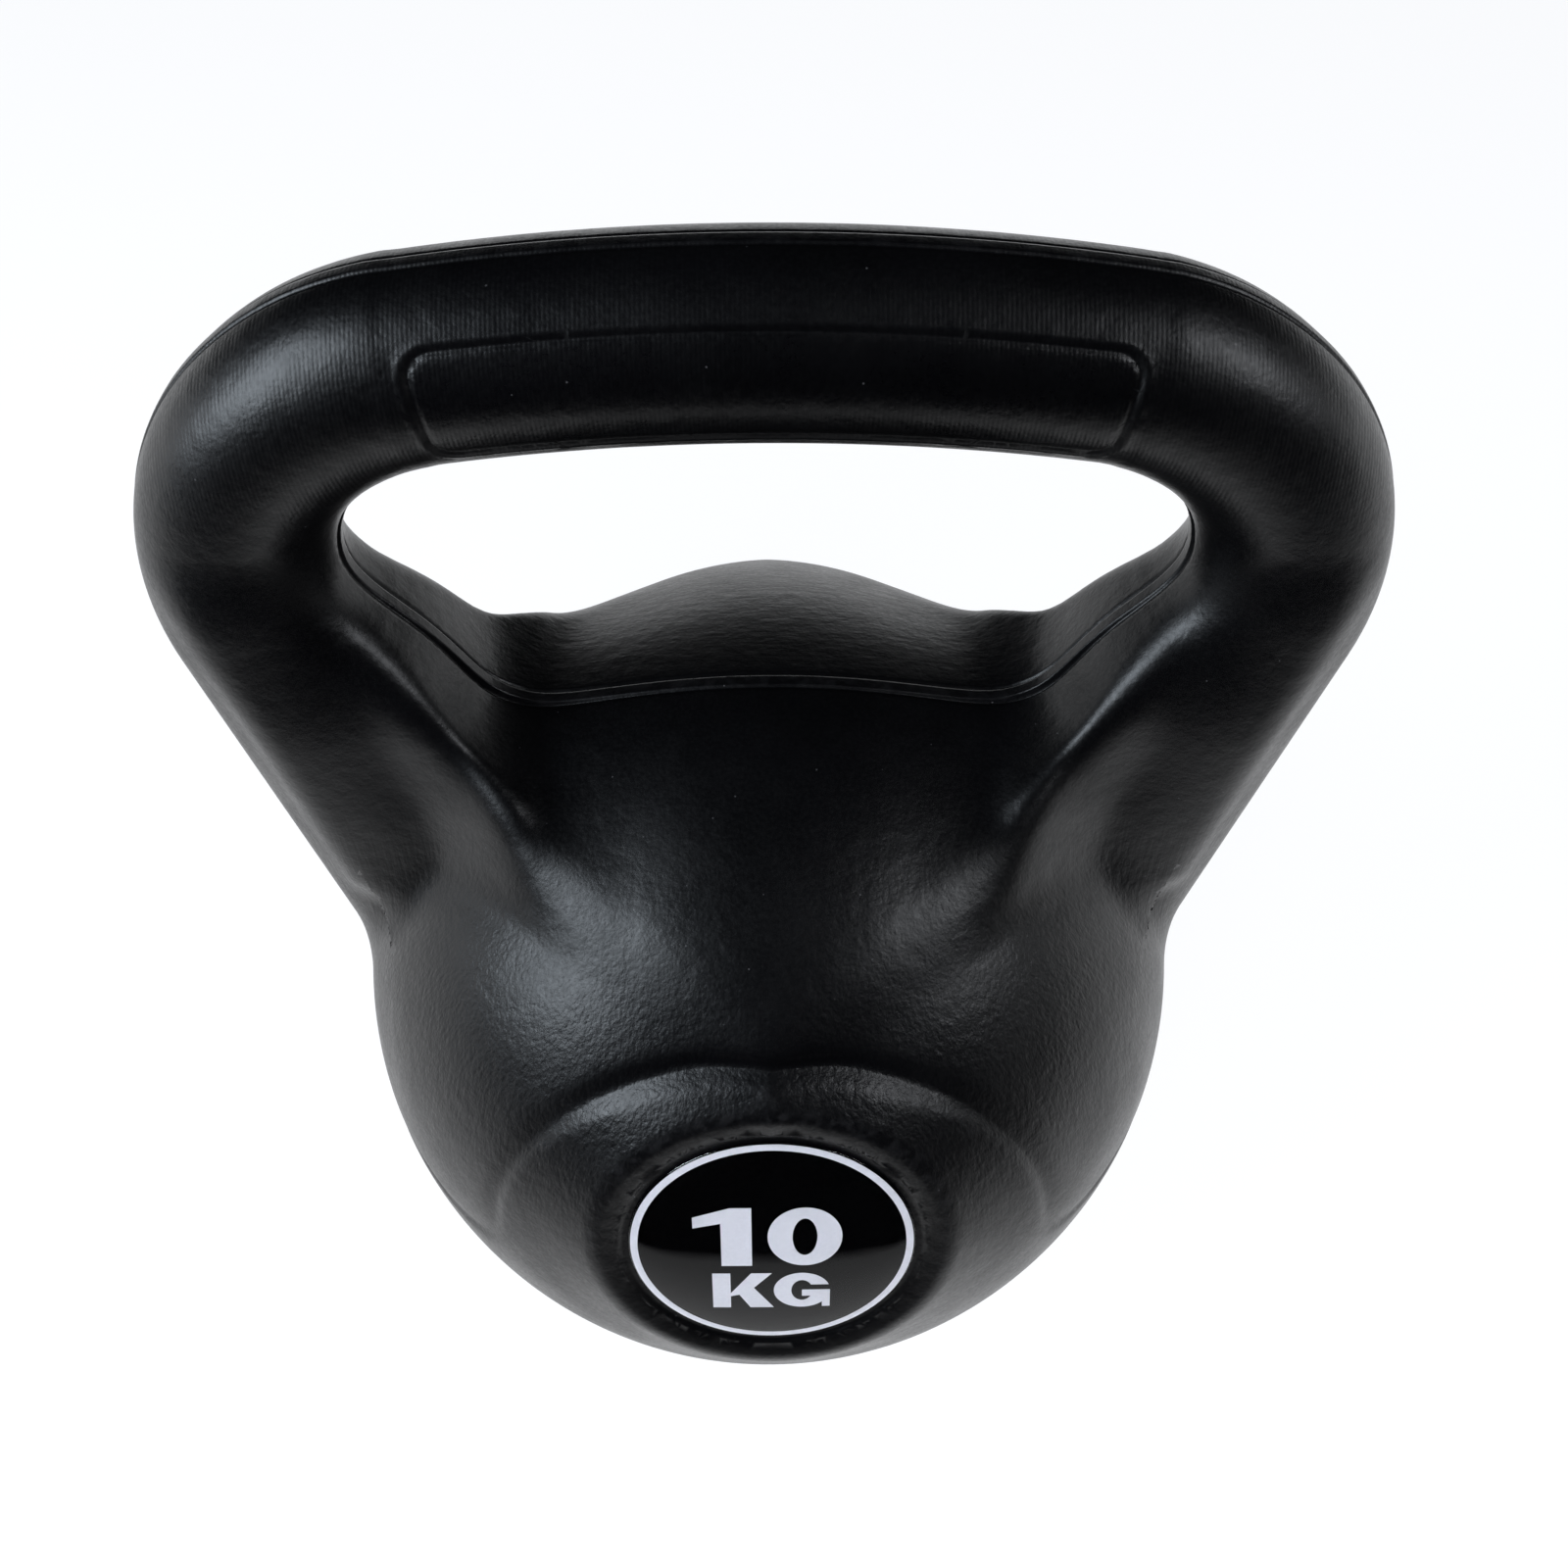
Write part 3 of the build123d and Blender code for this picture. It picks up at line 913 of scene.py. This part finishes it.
def make_floor():
    """Pale table top, even to the camera; it lights the kettlebell from its front edge backwards."""
    half = FLOOR_HALF
    corners = [(-half, -half, 0), (half, -half, 0), (half, half, 0), (-half, half, 0)]
    mesh = bpy.data.meshes.new("studio_floor")
    mesh.from_pydata(corners, [], [(0, 1, 2, 3)])
    floor = place_piece("studio_floor", mesh)
    material = bpy.data.materials.new("pale_studio_floor")
    material.use_nodes = True
    nodes = material.node_tree.nodes
    links = material.node_tree.links
    nodes.clear()
    glow = nodes.new("ShaderNodeEmission")
    glow.inputs["Color"].default_value = PALE_BLUE_WHITE + (1.0,)
    place = nodes.new("ShaderNodeTexCoord")
    parts = nodes.new("ShaderNodeSeparateXYZ")
    links.new(place.outputs["Object"], parts.inputs[0])
    from_front = parts.outputs[1]
    table = fade(nodes, links, from_front, TABLE_EDGE)
    backwards = fade(nodes, links, from_front, GLOW_RISE, FLOOR_GLOW_IN_FRONT, FLOOR_GLOW)
    strength = nodes.new("ShaderNodeMix")
    links.new(seen_by_camera(nodes), strength.inputs[0])
    links.new(math_node(nodes, links, "MULTIPLY", table, backwards), strength.inputs[2])
    strength.inputs[3].default_value = FLOOR_SEEN
    links.new(strength.outputs[0], glow.inputs["Strength"])
    matt = nodes.new("ShaderNodeBsdfDiffuse")
    shown = nodes.new("ShaderNodeMix")
    shown.data_type = "RGBA"
    shown.inputs[6].default_value = (0.0, 0.0, 0.0, 1.0)
    shown.inputs[7].default_value = (FLOOR_SHADE, FLOOR_SHADE, FLOOR_SHADE, 1.0)
    links.new(seen_by_camera(nodes), shown.inputs[0])
    links.new(shown.outputs[2], matt.inputs["Color"])
    both = nodes.new("ShaderNodeAddShader")
    links.new(glow.outputs[0], both.inputs[0])
    links.new(matt.outputs[0], both.inputs[1])
    result = nodes.new("ShaderNodeOutputMaterial")
    links.new(both.outputs[0], result.inputs[0])
    mesh.materials.append(material)


def make_low_screens():
    """Pale low screens at the left, back and right, whose glow runs along the outline."""
    out = SCREEN_DISTANCE
    corners = [(-out, SCREEN_FRONT), (-out, out), (out, out), (out, SCREEN_FRONT)]
    points = [(x, y, 0.0) for x, y in corners] + [(x, y, SCREEN_HEIGHT) for x, y in corners]
    faces = [(i, i + 4, i + 5, i + 1) for i in range(3)]
    mesh = bpy.data.meshes.new("low_screens")
    mesh.from_pydata(points, [], faces)
    screens = place_piece("low_screens", mesh)
    material = bpy.data.materials.new("pale_screen")
    material.use_nodes = True
    nodes = material.node_tree.nodes
    nodes.clear()
    glow = nodes.new("ShaderNodeEmission")
    glow.inputs["Color"].default_value = (0.96, 0.98, 1.0, 1.0)
    glow.inputs["Strength"].default_value = SCREEN_GLOW
    result = nodes.new("ShaderNodeOutputMaterial")
    material.node_tree.links.new(glow.outputs[0], result.inputs[0])
    mesh.materials.append(material)
    screens.visible_camera = False


def make_world():
    world = bpy.data.worlds.new("studio_room")
    bpy.context.scene.world = world
    world.use_nodes = True
    nodes = world.node_tree.nodes
    links = world.node_tree.links
    room = nodes["Background"]
    room.inputs["Color"].default_value = (0.9, 0.95, 1.0, 1.0)
    room.inputs["Strength"].default_value = ROOM_LIGHT
    backdrop = nodes.new("ShaderNodeBackground")
    backdrop.inputs["Color"].default_value = PALE_BLUE_WHITE + (1.0,)
    backdrop.inputs["Strength"].default_value = BACKDROP_LIGHT
    chosen = nodes.new("ShaderNodeMixShader")
    links.new(seen_by_camera(nodes), chosen.inputs[0])
    links.new(room.outputs[0], chosen.inputs[1])
    links.new(backdrop.outputs[0], chosen.inputs[2])
    links.new(chosen.outputs[0], nodes["World Output"].inputs[0])


def add_softbox(name, direction, distance, width, height, power, colour):
    """Soft rectangular light that looks at the middle of the kettlebell."""
    aim = Vector(LAMP_AIM)
    way = Vector(direction).normalized()
    lamp = bpy.data.lights.new(name, "AREA")
    lamp.shape = "RECTANGLE"
    lamp.size = width
    lamp.size_y = height
    lamp.energy = power
    lamp.color = colour
    holder = bpy.data.objects.new(name, lamp)
    holder.location = aim + way * distance
    holder.rotation_euler = (-way).to_track_quat("-Z", "Y").to_euler()
    bpy.context.scene.collection.objects.link(holder)
    return holder


def add_camera():
    lens = bpy.data.cameras.new("camera")
    lens.sensor_width = CAMERA_SENSOR
    lens.lens = CAMERA_LENS
    lens.clip_start = CAMERA_NEAREST
    camera = bpy.data.objects.new("camera", lens)
    camera.location = CAMERA_PLACE
    camera.rotation_euler = Euler([math.radians(angle) for angle in CAMERA_TURN], "XYZ")
    bpy.context.scene.collection.objects.link(camera)
    bpy.context.scene.camera = camera


# ---- build ----
shell_finish = satin_black_shell()
film_finish = black_label_film()
ink_finish = white_label_ink()
resin_finish = clear_cast_resin()

skin = make_shell_skin()
give_finish(skin, shell_finish)
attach(skin, "root")
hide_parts("shell")

dome_maker = dome_tree()
for end_name, side in (("front", -1), ("rear", 1)):
    dome = make_label_dome(end_name + "_resin_dome", side, dome_maker, resin_finish)
    give_finish(dome, resin_finish)
    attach(dome, "root")
    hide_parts(end_name + "_label_dome")
    give_finish(bpy.data.objects[end_name + "_label_film"], film_finish)
    give_finish(bpy.data.objects[end_name + "_label_print"], ink_finish)

give_finish(bpy.data.objects["filler_plug"], moulded_plug_plastic())
give_finish(bpy.data.objects["cement_filling"], grey_cement())
give_finish(bpy.data.objects["handle_rod"], drawn_steel_rod())

make_floor()
make_low_screens()
make_world()
add_softbox(
    "left_softbox", direction=(-0.79, -0.36, 0.50), distance=1.2,
    width=0.55, height=0.75, power=17.0, colour=(0.82, 0.91, 1.0),
)
add_softbox(
    "right_softbox", direction=(0.72, -0.34, 0.60), distance=1.3,
    width=0.40, height=0.60, power=6.0, colour=(0.92, 0.95, 1.0),
)
front_fill = add_softbox(
    "front_fill", direction=(0.0, -0.90, 0.50), distance=1.1,
    width=1.3, height=0.8, power=16.0, colour=PALE_BLUE_WHITE,
)
front_fill.visible_glossy = False
add_camera()
bpy.context.scene.view_settings.view_transform = "Standard"
